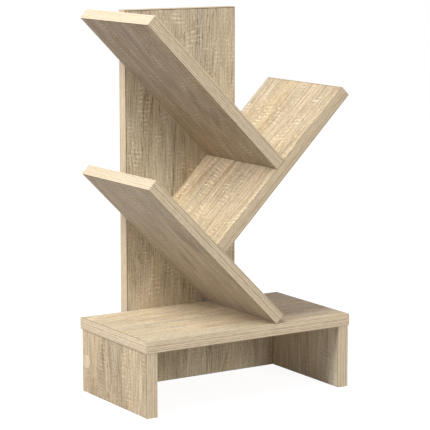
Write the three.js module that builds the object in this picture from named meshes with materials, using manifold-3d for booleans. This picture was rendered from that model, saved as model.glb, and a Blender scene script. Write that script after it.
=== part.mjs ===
// Tree shaped bookshelf: a low bench base, an upright trunk board behind it, and three
// branches that climb the trunk at 45 degrees, each standing square on the middle of the last.
// Millimetres, +Z up, front towards -Y. The origin is the centre of the footprint, on the floor.
import * as THREE from "three";
import { mergeVertices } from "three/addons/utils/BufferGeometryUtils.js";
import Module from "manifold-3d";

const wasm = await Module();
wasm.setup();

// Boards
const boardThickness = 15;
const baseWidth = 300;
const baseDepth = 165;
const legHeight = 80;
const legSideInset = 1; // the base top overhangs its legs a little on every side
const legFrontInset = 1;
const legBackInset = 3;
const trunkWidth = 165;
const trunkHeight = 480;
const branchLength = 259;
const branchLean = Math.PI / 4; // of the low and top branches, above the horizontal

// Edge bands
const bandThickness = 0.8;
const bandArris = 0.4; // radius of a band's two outer edges
const glueLine = 0.1; // between a band and the board that it covers

// Joints between boards
const seamGap = 0.1; // dry seam between two boards that stand square to each other
const buttGap = 0.3; // between a branch's foot and the branch that it stands on

// Countersunk screws
const longScrewLength = 50;
const shortScrewLength = 24; // the rail is only one board thick behind its seam
const screwHeadRadius = 3.5;
const screwHeadHeight = 2.6;
const screwNeckRadius = 2.2;
const screwNeckLength = 9;
const screwThreadRadius = 1.9;
const screwTipLength = 5;
const screwSocketRadius = 1.5;
const screwSocketDepth = 1.6;
const headRecess = 0.3; // how far a head lies under the board's face
const boreClearance = 0.1; // on the radius of every bore
const boreOverrun = 1; // how far a cut runs past the face that it opens
const boreEndClearance = 1; // free depth past a screw's tip or a dowel's end

// Places of the screws
const screwFootInset = 30; // from a branch's foot, along the branch
const screwEdgeInset = 25; // from the trunk's side, to the outer column of screws
const railScrewInset = 5.5; // from the rail's front face to the leg screw's axis

// Cover caps: self-adhesive discs over the screw heads
const capRadius = 9;
const capThickness = 0.4;
const capArris = 0.2;
const capMargin = 1.5; // least distance from a cap to the edge of its board

// Dowels
const dowelRadius = 4;
const dowelLength = 30;
const dowelFaceDepth = 10; // how deep a dowel goes into a board's face
const dowelChamfer = 1;
const legDowelInset = 35; // from the leg's front and back edges
const branchDowelInset = 40; // from the branch's front edge

const roundSegments = 20;
const arrisSegments = 2;

// Sizes that follow
const bandAllowance = bandThickness + glueLine;
const baseUnderside = legHeight + seamGap;
const baseSurface = baseUnderside + boardThickness;
const trunkFront = baseDepth + seamGap;
const trunkBack = trunkFront + boardThickness;
const overallDepth = trunkBack + capThickness;
const legOutside = baseWidth / 2 - legSideInset;
const legInside = legOutside - boardThickness;
const legBack = baseDepth - legBackInset;
const screwColumn = trunkWidth / 2 - screwEdgeInset;

// Finishes
const oakFace = new THREE.MeshStandardMaterial({ color: 0xcbb28a, roughness: 0.55, metalness: 0 });
const oakBand = new THREE.MeshStandardMaterial({ color: 0xd9c39c, roughness: 0.5, metalness: 0 });
const zincPlate = new THREE.MeshStandardMaterial({ color: 0xb9bcc0, roughness: 0.35, metalness: 1 });
const capFoil = new THREE.MeshStandardMaterial({ color: 0xdcc7a3, roughness: 0.5, metalness: 0 });
const beech = new THREE.MeshStandardMaterial({ color: 0xd7b88c, roughness: 0.7, metalness: 0 });

// A closed mesh as a solid: only its places are kept, and triangles of no area are dropped.
function solidOf(geometry) {
  const bare = geometry.clone();
  bare.deleteAttribute("normal");
  bare.deleteAttribute("uv");
  const merged = mergeVertices(bare);
  const corners = merged.index.array;
  const kept = [];
  for (let i = 0; i < corners.length; i += 3) {
    const [a, b, c] = [corners[i], corners[i + 1], corners[i + 2]];
    if (a !== b && b !== c && c !== a) kept.push(a, b, c);
  }
  const mesh = new wasm.Mesh({
    numProp: 3,
    vertProperties: merged.attributes.position.array,
    triVerts: new Uint32Array(kept),
  });
  return new wasm.Manifold(mesh);
}

function geometryOf(solid) {
  const mesh = solid.getMesh();
  const geometry = new THREE.BufferGeometry();
  geometry.setAttribute("position", new THREE.BufferAttribute(mesh.vertProperties, 3));
  geometry.setIndex(new THREE.BufferAttribute(mesh.triVerts, 1));
  geometry.computeVertexNormals();
  return geometry;
}

function cut(geometry, cutters) {
  let solid = solidOf(geometry);
  for (const cutter of cutters) solid = solid.subtract(solidOf(cutter));
  return geometryOf(solid);
}

// A mesh of its own, named for the piece.
function piece(name, geometry, material) {
  const mesh = new THREE.Mesh(geometry, material);
  mesh.name = name;
  return mesh;
}

// A flat board between two opposite corners.
function board(low, high) {
  const size = high.map((value, axis) => value - low[axis]);
  const middle = high.map((value, axis) => (value + low[axis]) / 2);
  return new THREE.BoxGeometry(...size).translate(...middle);
}

// A closed turned form about the Y axis, from the profile's [radius, height] points.
function turned(points) {
  const profile = points.map(([radius, height]) => new THREE.Vector2(radius, height));
  return new THREE.LatheGeometry(profile, roundSegments);
}

// The edge band's section, with its two outer edges rounded, run along X. The glued face lies
// in the plane y = 0 and the outer face looks towards -Y.
function band(length, width = boardThickness) {
  const halfWidth = width / 2;
  const section = new THREE.Shape();
  section.moveTo(0, -halfWidth);
  section.lineTo(0, halfWidth);
  section.lineTo(-bandThickness + bandArris, halfWidth);
  section.absarc(-bandThickness + bandArris, halfWidth - bandArris, bandArris, Math.PI / 2, Math.PI);
  section.lineTo(-bandThickness, -halfWidth + bandArris);
  section.absarc(-bandThickness + bandArris, -halfWidth + bandArris, bandArris, Math.PI, 1.5 * Math.PI);
  section.lineTo(0, -halfWidth);
  const run = { depth: length, bevelEnabled: false, curveSegments: arrisSegments };
  const strip = new THREE.ExtrudeGeometry(section, run);
  // The section's X becomes Y, its Y becomes Z, and the run becomes X.
  strip.applyMatrix4(new THREE.Matrix4().makeBasis(
    new THREE.Vector3(0, 1, 0),
    new THREE.Vector3(0, 0, 1),
    new THREE.Vector3(1, 0, 0),
  ));
  return strip.translate(-length / 2, 0, 0);
}

const facing = { front: 0, right: Math.PI / 2, back: Math.PI, left: -Math.PI / 2 };

// Turns a band to the side that it covers. An upright one runs along Z.
function bandFacing(side, length, upright = false) {
  const strip = band(length);
  if (upright) strip.rotateY(-Math.PI / 2);
  return strip.rotateZ(facing[side]);
}

// A countersunk screw along Y, its tip at the origin and its head on top.
function screw(length) {
  const neckTop = length - screwHeadHeight;
  const body = turned([
    [0, 0],
    [screwThreadRadius, screwTipLength],
    [screwThreadRadius, neckTop - screwNeckLength],
    [screwNeckRadius, neckTop - screwNeckLength],
    [screwNeckRadius, neckTop],
    [screwHeadRadius, length],
    [0, length],
  ]);
  const socketHeight = screwSocketDepth + boreOverrun;
  const socket = new THREE.CylinderGeometry(screwSocketRadius, screwSocketRadius, socketHeight, 6);
  socket.translate(0, length - screwSocketDepth + socketHeight / 2, 0);
  return cut(body, [socket]);
}

// The countersunk clearance bore through a board, along Y, with the board's outer face at y = 0.
function clearanceBore() {
  const radius = screwNeckRadius + boreClearance;
  const mouth = screwHeadRadius + boreClearance;
  const slope = (screwHeadRadius - screwNeckRadius) / screwHeadHeight;
  const seatTop = -headRecess;
  return turned([
    [0, -boardThickness - boreOverrun],
    [radius, -boardThickness - boreOverrun],
    [radius, seatTop - (mouth - radius) / slope],
    [mouth, seatTop],
    [mouth, boreOverrun],
    [0, boreOverrun],
  ]);
}

// A blind bore along Y, its mouth at y = 0 and its depth towards -Y.
function blindBore(radius, depth) {
  const wall = radius + boreClearance;
  return turned([
    [0, -depth],
    [wall, -depth],
    [wall, boreOverrun],
    [0, boreOverrun],
  ]);
}

// How deep a screw that starts under the outer face reaches past the seam, with free depth.
function pilotDepth(length) {
  return length + headRecess - boardThickness - seamGap + boreEndClearance;
}

function pilotBore(length) {
  return blindBore(screwThreadRadius, pilotDepth(length));
}

// A fluted dowel's plain envelope along Y, centred on the origin.
function dowel() {
  const end = dowelLength / 2;
  const endRadius = dowelRadius - dowelChamfer;
  return turned([
    [0, -end],
    [endRadius, -end],
    [dowelRadius, -end + dowelChamfer],
    [dowelRadius, end - dowelChamfer],
    [endRadius, end],
    [0, end],
  ]);
}

// A cap along Y, stuck on at y = 0.
function cap() {
  return turned([
    [0, 0],
    [capRadius, 0],
    [capRadius, capThickness - capArris],
    [capRadius - capArris, capThickness],
    [0, capThickness],
  ]);
}

function placed(mesh, x, y, z) {
  mesh.position.set(x, y, z);
  return mesh;
}

// The three branches. Each has a foot corner (on its lower face), a direction, the normal of its
// upper face and the turn about Y that brings a level board there. Sides say which way it runs.
const [leanCos, leanSin] = [Math.cos(branchLean), Math.sin(branchLean)];
const leftRun = { along: [-leanCos, leanSin], normal: [leanSin, leanCos], turn: branchLean, side: -1 };
const rightRun = {
  along: [leanSin, leanCos],
  normal: [-leanCos, leanSin],
  turn: branchLean - Math.PI / 2,
  side: 1,
};

// A point [x, z] so far along a branch and so far up through its thickness.
function onBranch(branch, run, rise) {
  return branch.foot.map((value, i) => value + branch.along[i] * run + branch.normal[i] * rise);
}

// The next branch stands square on the middle of this one's upper face.
function branchOn(carrier, name, run) {
  const start = (branchLength - boardThickness) / 2;
  const foot = onBranch(carrier, start, boardThickness + buttGap);
  return { name, foot, ...run, footBanded: false };
}

// The low and middle branches are mirror images about the trunk's middle, which sets the foot.
const branchPitch = branchLength / 2 + buttGap + boardThickness / 2;
const lowFootX =
  (leanCos * branchLength) / 2 - (leanSin * boardThickness) / 2 - (leanSin * branchPitch) / 2;
const lowBranch = {
  name: "low_branch",
  foot: [lowFootX, baseSurface + seamGap],
  ...leftRun,
  footBanded: true,
};
const middleBranch = branchOn(lowBranch, "middle_branch", rightRun);
const topBranch = branchOn(middleBranch, "top_branch", leftRun);

// Each branch has one screw near its foot and one in the trunk's outer column.
function branchScrewRuns(branch) {
  const [startX] = onBranch(branch, 0, boardThickness / 2);
  const columnX = branch.side * screwColumn;
  return [screwFootInset, (columnX - startX) / branch.along[0]];
}

const branchScrews = [lowBranch, middleBranch, topBranch].flatMap((branch) =>
  branchScrewRuns(branch).map((run, i) => {
    const [x, z] = onBranch(branch, run, boardThickness / 2);
    return { name: `${branch.name}_screw_${i + 1}`, x, z, length: longScrewLength };
  }),
);
const baseScrews = [-screwColumn, screwColumn].map((x, i) => ({
  name: `base_top_screw_${i + 1}`,
  x,
  z: baseUnderside + boardThickness / 2,
  length: longScrewLength,
}));
const railScrews = [-screwColumn, screwColumn].map((x, i) => ({
  name: `rail_screw_${i + 1}`,
  x,
  z: legHeight / 2,
  length: shortScrewLength,
}));
const trunkScrews = [...branchScrews, ...baseScrews, ...railScrews];

// Dowel places, front and back, along the depth of a leg.
const legDowelYs = [legFrontInset + legDowelInset, legBack - legDowelInset];

const legScrewY = baseDepth - boardThickness + railScrewInset;
const legCapY = Math.min(legScrewY, legBack - capMargin - capRadius);

function baseTop() {
  const group = new THREE.Group();
  const halfWidth = baseWidth / 2;
  const coreHalf = halfWidth - bandAllowance;
  const coreBack = baseDepth - bandAllowance;
  const middleZ = baseUnderside + boardThickness / 2;
  const dowelDepth = dowelFaceDepth + boreEndClearance;
  const dowelBores = [-1, 1].flatMap((side) =>
    legDowelYs.map((y) =>
      blindBore(dowelRadius, dowelDepth)
        .rotateX(-Math.PI / 2)
        .translate(side * (legOutside - boardThickness / 2), y, baseUnderside),
    ),
  );
  const screwBores = baseScrews.map((place) =>
    pilotBore(place.length).translate(place.x, baseDepth, place.z),
  );
  const core = board([-coreHalf, bandAllowance, baseUnderside], [coreHalf, coreBack, baseSurface]);
  group.add(piece("base_top", cut(core, [...dowelBores, ...screwBores]), oakFace));
  const frontBand = bandFacing("front", baseWidth);
  group.add(placed(piece("base_top_front_band", frontBand, oakBand), 0, bandThickness, middleZ));
  const backBand = bandFacing("back", baseWidth).translate(0, baseDepth - bandThickness, middleZ);
  group.add(piece("base_top_back_band", cut(backBand, screwBores), oakBand));
  const sideLength = coreBack - bandAllowance;
  for (const [side, sign] of [["left", -1], ["right", 1]]) {
    const strip = piece(`base_top_${side}_band`, bandFacing(side, sideLength), oakBand);
    group.add(placed(strip, sign * (halfWidth - bandThickness), baseDepth / 2, middleZ));
  }
  return group;
}

// One leg, with its bands, the screw that goes through it into the rail, its cap and its dowels.
function leg(side, sign) {
  const group = new THREE.Group();
  const middleX = sign * (legOutside - boardThickness / 2);
  const coreLow = [middleX - boardThickness / 2, legFrontInset + bandAllowance, 0];
  const coreHigh = [middleX + boardThickness / 2, legBack - bandAllowance, legHeight];
  const turn = sign * -Math.PI / 2;
  const screwBore = clearanceBore().rotateZ(turn).translate(sign * legOutside, legScrewY, legHeight / 2);
  const dowelDepth = dowelLength - dowelFaceDepth + boreEndClearance;
  const dowelBores = legDowelYs.map((y) =>
    blindBore(dowelRadius, dowelDepth).rotateX(Math.PI / 2).translate(middleX, y, legHeight),
  );
  const core = board(coreLow, coreHigh);
  group.add(piece(`${side}_leg`, cut(core, [screwBore, ...dowelBores]), oakFace));
  const bands = { front: legFrontInset + bandThickness, back: legBack - bandThickness };
  for (const [edge, y] of Object.entries(bands)) {
    const strip = piece(`${side}_leg_${edge}_band`, bandFacing(edge, legHeight, true), oakBand);
    group.add(placed(strip, middleX, y, legHeight / 2));
  }
  const legScrew = piece(`${side}_leg_screw`, screw(longScrewLength), zincPlate);
  legScrew.rotation.z = turn;
  const tipX = sign * (legOutside - headRecess - longScrewLength);
  group.add(placed(legScrew, tipX, legScrewY, legHeight / 2));
  const legCap = piece(`${side}_leg_cap`, cap(), capFoil);
  legCap.rotation.z = turn;
  group.add(placed(legCap, sign * legOutside, legCapY, legHeight / 2));
  const dowelZ = legHeight + seamGap + dowelFaceDepth - dowelLength / 2;
  legDowelYs.forEach((y, i) => {
    const pin = piece(`${side}_leg_dowel_${i + 1}`, dowel(), beech);
    pin.rotation.x = Math.PI / 2;
    group.add(placed(pin, middleX, y, dowelZ));
  });
  return group;
}

// The rail closes the back of the base between the legs.
function rail() {
  const railEnd = legInside - seamGap;
  const low = [-railEnd, baseDepth - boardThickness, 0];
  const high = [railEnd, baseDepth, legHeight];
  const endBores = [-1, 1].map((sign) =>
    pilotBore(longScrewLength)
      .rotateZ(sign * -Math.PI / 2)
      .translate(sign * railEnd, legScrewY, legHeight / 2),
  );
  const backBores = railScrews.map((place) =>
    pilotBore(place.length).translate(place.x, baseDepth, place.z),
  );
  return piece("rail", cut(board(low, high), [...endBores, ...backBores]), oakFace);
}

function trunk() {
  const group = new THREE.Group();
  const halfWidth = trunkWidth / 2;
  const coreHalf = halfWidth - bandAllowance;
  const middleY = trunkFront + boardThickness / 2;
  const core = board([-coreHalf, trunkFront, 0], [coreHalf, trunkBack, trunkHeight - bandAllowance]);
  const bores = trunkScrews.map((place) => clearanceBore().translate(place.x, trunkBack, place.z));
  group.add(piece("trunk", cut(core, bores), oakFace));
  for (const [side, sign] of [["left", -1], ["right", 1]]) {
    const strip = piece(`trunk_${side}_band`, bandFacing(side, trunkHeight, true), oakBand);
    group.add(placed(strip, sign * (halfWidth - bandThickness), middleY, trunkHeight / 2));
  }
  const topStrip = piece("trunk_top_band", band(2 * coreHalf), oakBand);
  topStrip.rotation.x = -Math.PI / 2;
  group.add(placed(topStrip, 0, middleY, trunkHeight - bandThickness));
  return group;
}

// The screws that come through the trunk from behind, and their caps.
function trunkFasteners() {
  const group = new THREE.Group();
  for (const place of trunkScrews) {
    const pin = piece(place.name, screw(place.length), zincPlate);
    group.add(placed(pin, place.x, trunkBack - headRecess - place.length, place.z));
    const disc = piece(place.name.replace("screw", "cap"), cap(), capFoil);
    group.add(placed(disc, place.x, trunkBack, place.z));
  }
  return group;
}

// One branch in a group turned to its lean. In the group it runs level along X from its foot at
// x = 0 towards its own side, its lower face at z = 0.
function branchBoard(branch, carried) {
  const group = new THREE.Group();
  const { name, side } = branch;
  const middleZ = boardThickness / 2;
  const coreStart = branch.footBanded ? bandAllowance : 0;
  const coreEnd = branchLength - bandAllowance;
  const ends = [side * coreStart, side * coreEnd].sort((a, b) => a - b);
  const coreBack = baseDepth - bandAllowance;
  const core = board([ends[0], bandAllowance, 0], [ends[1], coreBack, boardThickness]);
  const screwBores = branchScrewRuns(branch).map((run) =>
    pilotBore(longScrewLength).translate(side * run, baseDepth, middleZ),
  );
  const cutters = [...screwBores];
  if (!branch.footBanded) {
    const depth = dowelLength - dowelFaceDepth + boreEndClearance;
    const footBore = blindBore(dowelRadius, depth).rotateZ(side * Math.PI / 2);
    cutters.push(footBore.translate(0, branchDowelInset, middleZ));
  }
  if (carried) {
    const faceBore = blindBore(dowelRadius, dowelFaceDepth + boreEndClearance).rotateX(Math.PI / 2);
    cutters.push(faceBore.translate((side * branchLength) / 2, branchDowelInset, boardThickness));
  }
  group.add(piece(name, cut(core, cutters), oakFace));
  const middleX = (side * branchLength) / 2;
  const frontBand = piece(`${name}_front_band`, bandFacing("front", branchLength), oakBand);
  group.add(placed(frontBand, middleX, bandThickness, middleZ));
  const backBand = bandFacing("back", branchLength).translate(middleX, baseDepth - bandThickness, middleZ);
  group.add(piece(`${name}_back_band`, cut(backBand, screwBores), oakBand));
  const tipSide = side < 0 ? "left" : "right";
  const footSide = side < 0 ? "right" : "left";
  const endLength = coreBack - bandAllowance;
  const tipBand = piece(`${name}_tip_band`, bandFacing(tipSide, endLength), oakBand);
  group.add(placed(tipBand, side * (branchLength - bandThickness), baseDepth / 2, middleZ));
  if (branch.footBanded) {
    const footBand = piece(`${name}_foot_band`, bandFacing(footSide, endLength), oakBand);
    group.add(placed(footBand, side * bandThickness, baseDepth / 2, middleZ));
  } else {
    const pin = piece(`${name}_dowel`, dowel(), beech);
    pin.rotation.z = Math.PI / 2;
    const pinMiddle = dowelLength / 2 - dowelFaceDepth - buttGap;
    group.add(placed(pin, side * pinMiddle, branchDowelInset, middleZ));
  }
  group.rotation.y = branch.turn;
  group.position.set(branch.foot[0], 0, branch.foot[1]);
  return group;
}

const assembly = new THREE.Group();
assembly.add(baseTop(), leg("left", -1), leg("right", 1), rail());
assembly.add(trunk(), trunkFasteners());
assembly.add(branchBoard(lowBranch, true), branchBoard(middleBranch, true), branchBoard(topBranch, false));
assembly.position.y = -overallDepth / 2;

const bookshelf = new THREE.Group();
bookshelf.add(assembly);

export default bookshelf;
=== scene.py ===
"""Looks of the tree shaped bookshelf: boards, edge bands, fasteners, finishes, studio."""

import math
from functools import partial
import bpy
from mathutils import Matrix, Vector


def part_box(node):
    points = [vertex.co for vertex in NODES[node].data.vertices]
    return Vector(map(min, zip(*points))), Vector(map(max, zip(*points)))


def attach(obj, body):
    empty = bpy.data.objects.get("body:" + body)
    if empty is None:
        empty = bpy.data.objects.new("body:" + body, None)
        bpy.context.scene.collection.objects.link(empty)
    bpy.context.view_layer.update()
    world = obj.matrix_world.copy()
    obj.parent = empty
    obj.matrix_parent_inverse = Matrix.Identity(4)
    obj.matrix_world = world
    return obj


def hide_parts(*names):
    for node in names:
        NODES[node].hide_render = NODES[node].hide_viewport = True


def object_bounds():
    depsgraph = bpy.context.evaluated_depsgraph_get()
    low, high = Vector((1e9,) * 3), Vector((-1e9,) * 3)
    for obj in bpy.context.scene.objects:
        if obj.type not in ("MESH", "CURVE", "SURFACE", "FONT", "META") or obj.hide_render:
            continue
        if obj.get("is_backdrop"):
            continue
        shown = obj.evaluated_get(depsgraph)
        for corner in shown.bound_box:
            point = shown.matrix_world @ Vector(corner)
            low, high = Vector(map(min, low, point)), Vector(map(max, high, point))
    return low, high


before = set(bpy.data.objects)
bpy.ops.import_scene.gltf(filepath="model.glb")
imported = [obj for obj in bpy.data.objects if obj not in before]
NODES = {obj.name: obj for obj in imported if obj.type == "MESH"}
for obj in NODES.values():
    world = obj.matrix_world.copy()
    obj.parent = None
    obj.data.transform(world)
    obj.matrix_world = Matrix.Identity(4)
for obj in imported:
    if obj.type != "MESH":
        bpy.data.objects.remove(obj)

from inspect import signature
from typing import NamedTuple

import bmesh
import bpy
import numpy as np
from mathutils import Matrix, Vector

bl_info = {
    "name": "Tree Shaped Bookshelf",
    "version": (1, 0, 0),
    "blender": (4, 5, 0),
    "location": "3D View > Sidebar > Bookshelf",
    "description": "Builds the visible pieces of a tree shaped bookshelf and its studio",
    "category": "Object",
}

CAD_LOW, CAD_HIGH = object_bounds()
MM = 0.001

X = Vector((1, 0, 0))
Y = Vector((0, 1, 0))
Z = Vector((0, 0, 1))

# The three branches, from the bottom up.
BRANCHES = ("low_branch", "middle_branch", "top_branch")

# How finely round shapes are drawn.
BORE_SIDES = 20
BAND_ROUNDING_STEPS = 4
CAP_SIDES, CAP_RINGS = 48, 18
SCREW_SIDES, SCREW_RINGS = 24, 101
THREAD_STEPS = 20
DOWEL_RINGS = 31

# The families of node types.
FAMILIES = ("ShaderNode", "GeometryNode", "FunctionNode", "Node")


def linear(hex_colour):
    """An sRGB hex colour as linear red, green and blue."""
    values = [int(hex_colour[i:i + 2], 16) / 255 for i in (1, 3, 5)]
    return tuple(
        value / 12.92 if value <= 0.04045 else ((value + 0.055) / 1.055) ** 2.4
        for value in values)


# Settings

def length_prop(name, description, millimetres):
    return bpy.props.FloatProperty(
        name=name, description=description, default=millimetres * MM, min=0, unit="LENGTH",
        precision=5)


def power_prop(name, description, watts):
    return bpy.props.FloatProperty(
        name=name, description=description, default=watts, min=0, unit="POWER")


def angle_prop(name, description, degrees):
    return bpy.props.FloatProperty(
        name=name, description=description, default=math.radians(degrees), subtype="ANGLE")


def colour_prop(name, description, hex_colour):
    return bpy.props.FloatVectorProperty(
        name=name, description=description, default=linear(hex_colour), subtype="COLOR", size=3,
        min=0, max=1)


class BoardSettings(bpy.types.PropertyGroup):
    """Sizes of the boards that the CAD solids don't hold, and the rule of the branches."""

    arris: length_prop("Arris", "Chamfer on every edge of a board", 0.6)
    branch_length: length_prop("Branch Length", "Length of each branch with its bands", 259)
    thickness: length_prop("Thickness", "Thickness of every board", 15)
    band_allowance: length_prop("Band Allowance", "Edge band and its glue line", 0.9)
    butt_gap: length_prop("Butt Gap", "Between a branch's foot and the branch below", 0.3)
    screw_foot_inset: length_prop("Screw Foot Inset", "From a branch's foot to its screw", 30)
    screw_column: length_prop("Screw Column", "From the trunk's middle to a column", 57.5)
    pilot_radius: length_prop("Pilot Radius", "Radius of a screw's pilot bore", 2.0)
    pilot_depth: length_prop("Pilot Depth", "Depth of a screw's pilot bore", 36.2)
    dowel_bore: length_prop("Dowel Bore", "Radius of a dowel's bore", 4.1)
    dowel_inset: length_prop("Dowel Inset", "From a branch's front edge to its dowel", 40)
    foot_bore_depth: length_prop("Foot Bore Depth", "Dowel bore in a branch's foot", 21)
    face_bore_depth: length_prop("Face Bore Depth", "Dowel bore in a branch's face", 11)
    lean: angle_prop("Lean", "Angle of the branches above the horizontal", 45)


class FastenerSettings(bpy.types.PropertyGroup):
    """Sizes of bands, caps, screws and dowels."""

    band_arris: length_prop("Band Arris", "Radius of a band's outer edges", 0.4)
    cap_arris: length_prop("Cap Arris", "Rounding at a cap's rim", 0.2)
    cap_dimple: length_prop("Cap Dimple", "How far a cap sags over its screw", 0.05)
    head_radius: length_prop("Head Radius", "Radius of a screw's head", 3.5)
    head_height: length_prop("Head Height", "Height of a screw's countersunk head", 2.6)
    neck_radius: length_prop("Neck Radius", "Radius of the plain neck", 2.2)
    neck_length: length_prop("Neck Length", "Length of the plain neck", 9)
    core_radius: length_prop("Core Radius", "Radius of the screw inside its thread", 1.45)
    thread_radius: length_prop("Thread Radius", "Radius over the thread", 1.9)
    thread_pitch: length_prop("Thread Pitch", "Rise of the thread in a turn", 2.2)
    tip_length: length_prop("Tip Length", "Length of the pointed tip", 5)
    socket_radius: length_prop("Socket Radius", "Radius of the hexagon socket", 1.5)
    socket_depth: length_prop("Socket Depth", "Depth of the hexagon socket", 1.6)
    dowel_radius: length_prop("Dowel Radius", "Radius of a beech dowel", 4)
    dowel_chamfer: length_prop("Dowel Chamfer", "Chamfer at a dowel's ends", 1)
    dowel_flute: length_prop("Dowel Flute", "Depth of a dowel's flutes", 0.35)
    dowel_flutes: bpy.props.IntProperty(
        name="Dowel Flutes", description="Number of flutes round a dowel", default=20, min=6)


class FinishSettings(bpy.types.PropertyGroup):
    """Colours of the finishes."""

    face_dark: colour_prop("Face Dark", "Dark lines of the oak print", "#92826B")
    face_mid: colour_prop("Face Mid", "Ground of the oak print", "#CAB99D")
    face_pale: colour_prop("Face Pale", "Pale streaks of the oak print", "#E6D7BB")
    face_palest: colour_prop("Face Palest", "Saw marks of the oak print", "#FBEFD6")
    band_dark: colour_prop("Band Dark", "Lines of the edge bands", "#B3A186")
    band_pale: colour_prop("Band Pale", "Ground of the edge bands", "#DFCBAB")
    band_palest: colour_prop("Band Palest", "Ground of the palest bands", "#E0D1B3")
    cap_pale: colour_prop("Cap Pale", "Ground of the cover caps", "#E3D1B0")
    cap_dark: colour_prop("Cap Dark", "Lines of the cover caps", "#C4AE8A")
    core_pale: colour_prop("Core Pale", "Chips of the particle board", "#C6A47A")
    core_dark: colour_prop("Core Dark", "Glue between the chips", "#7D6245")
    glue_pale: colour_prop("Glue Pale", "Thin glue beside the bands", "#6F5940")
    glue_dark: colour_prop("Glue Dark", "Thick glue beside the bands", "#4D3C29")
    zinc: colour_prop("Zinc", "Bright zinc plate", "#C3C6CB")
    beech_pale: colour_prop("Beech Pale", "Ground of the dowels", "#DDBE92")
    beech_dark: colour_prop("Beech Dark", "Flecks of the dowels", "#B58E5F")


class StudioSettings(bpy.types.PropertyGroup):
    """Camera, light and floor."""

    camera_place: bpy.props.FloatVectorProperty(
        name="Camera Place", description="Where the camera stands",
        default=(-1.26194, -1.99708, 0.61024), subtype="TRANSLATION", unit="LENGTH")
    camera_yaw: angle_prop("Camera Yaw", "Turn of the view from ahead to the right", 32.375)
    camera_pitch: angle_prop("Camera Pitch", "How far the view looks down", 9.301)
    lens: bpy.props.FloatProperty(
        name="Lens", description="Focal length in millimetres", default=158.66, min=1)
    key_power: power_prop("Key Power", "Power of the light high on the left", 42)
    front_power: power_prop("Front Power", "Power of the low light in front", 15.5)
    side_power: power_prop("Side Power", "Power of the low light on the left", 8)
    lamp_size: length_prop("Lamp Size", "Side of each soft light", 800)
    lamp_distance: length_prop("Lamp Distance", "From the shelf's middle to each light", 2200)
    ambient: bpy.props.FloatProperty(
        name="Ambient", description="Level of the light from all round", default=0.38, min=0)
    sky: colour_prop("Sky", "Colour of the ambient light and of the side light", "#F4EFFE")
    lamp_colour: colour_prop("Lamp Colour", "Colour of the key and the front light", "#FFFFF8")
    floor_size: length_prop("Floor Size", "Side of the floor", 12000)


# Small tools

def add_node(tree, kind, *values, out=0, **settings):
    """Adds a node and returns one of its outputs, or the node itself where out is None.

    The kind leaves out its family, and may name the node's operation after a colon. Values fill
    or link the inputs in order, a dict does so by name, and a list links all that it holds to
    one input.
    """
    kind, _, operation = kind.partition(":")
    family = next(family for family in FAMILIES if hasattr(bpy.types, family + kind))
    node = tree.nodes.new(family + kind)
    if operation:
        node.operation = operation
    for name, value in settings.items():
        setattr(node, name, value)
    for place, value in enumerate(values):
        for key, part in (value if isinstance(value, dict) else {place: value}).items():
            if isinstance(part, (list, bpy.types.NodeSocket)):
                for socket in part if isinstance(part, list) else [part]:
                    tree.links.new(socket, node.inputs[key])
            else:
                node.inputs[key].default_value = part
    return node if out is None else node.outputs[out]


def emptied(block):
    """Empties the nodes of a material or world, and returns what adds nodes to it."""
    block.use_nodes = True
    block.node_tree.nodes.clear()
    return partial(add_node, block.node_tree)


def label(name):
    return name.replace("_", " ").title()


def shape_tree(build, sizes, repeated):
    """The Geometry Nodes tree that a function draws, with a named input for each size.

    A repeated shape stands on each point that the tree is given, its Z turned to the point's
    direction. Every tree ends in Realize Instances and Set Material.
    """
    tree = bpy.data.node_groups.new(build.__name__, "GeometryNodeTree")
    tree.is_modifier = True
    new_socket = tree.interface.new_socket
    for way in ("INPUT", "OUTPUT"):
        new_socket(name="Geometry", in_out=way, socket_type="NodeSocketGeometry")
    for name, size in sizes.items():
        kind = {int: "Int", float: "Float"}.get(type(size), "Material")
        socket = new_socket(name=label(name), in_out="INPUT", socket_type=f"NodeSocket{kind}")
        socket.default_value = size
    add = partial(add_node, tree)
    points, *given = add("GroupInput", out=None).outputs
    given = dict(zip(sizes, given))
    material = given.pop("material")
    shape = build(add, **given)
    if repeated:
        facing = add("InputNamedAttribute", {"Name": "facing"}, data_type="FLOAT_VECTOR")
        turn = add("AlignRotationToVector", {"Vector": facing}, axis="Z")
        shape = add("InstanceOnPoints", points, {"Instance": shape, "Rotation": turn})
    real = add("RealizeInstances", shape)
    add("GroupOutput", add("SetMaterial", real, {"Material": material}), out=None)
    return tree


def placed(name, data):
    """A new object in the scene that holds the given data."""
    thing = bpy.data.objects.new(name, data)
    bpy.context.collection.objects.link(thing)
    return thing


def grown(name, build, finish, settings, points=None, **sizes):
    """Runs the tree that a function draws, and returns the plain mesh that it makes.

    The function's other sizes come from the settings of the same names.
    """
    asked = signature(build).parameters
    sizes |= {size: getattr(settings, size) for size in settings.__annotations__ if size in asked}
    sizes["material"] = bpy.data.materials[finish]
    tree = bpy.data.node_groups.get(build.__name__) or shape_tree(build, sizes, bool(points))
    keys = {socket.name: socket.identifier for socket in tree.interface.items_tree
            if socket.in_out == "INPUT"}
    holder = placed(name, points or bpy.data.meshes.new(name))
    modifier = holder.modifiers.new(name, "NODES")
    modifier.node_group = tree
    for size, value in sizes.items():
        modifier[keys[label(size)]] = value
    return baked(holder, modifier, name)


def baked(holder, modifier, name):
    """The plain mesh that an object's modifier makes. The object is removed."""
    evaluated = holder.evaluated_get(bpy.context.evaluated_depsgraph_get())
    mesh = bpy.data.meshes.new_from_object(evaluated)
    holder.modifiers.remove(modifier)
    bpy.data.objects.remove(holder)
    mesh.name = name
    return mesh


def shown(name, mesh, *nodes, slot):
    """Puts a finished mesh in the scene as a piece that stands for CAD nodes."""
    piece = placed(name, mesh)
    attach(piece, "root")
    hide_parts(*nodes)


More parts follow.
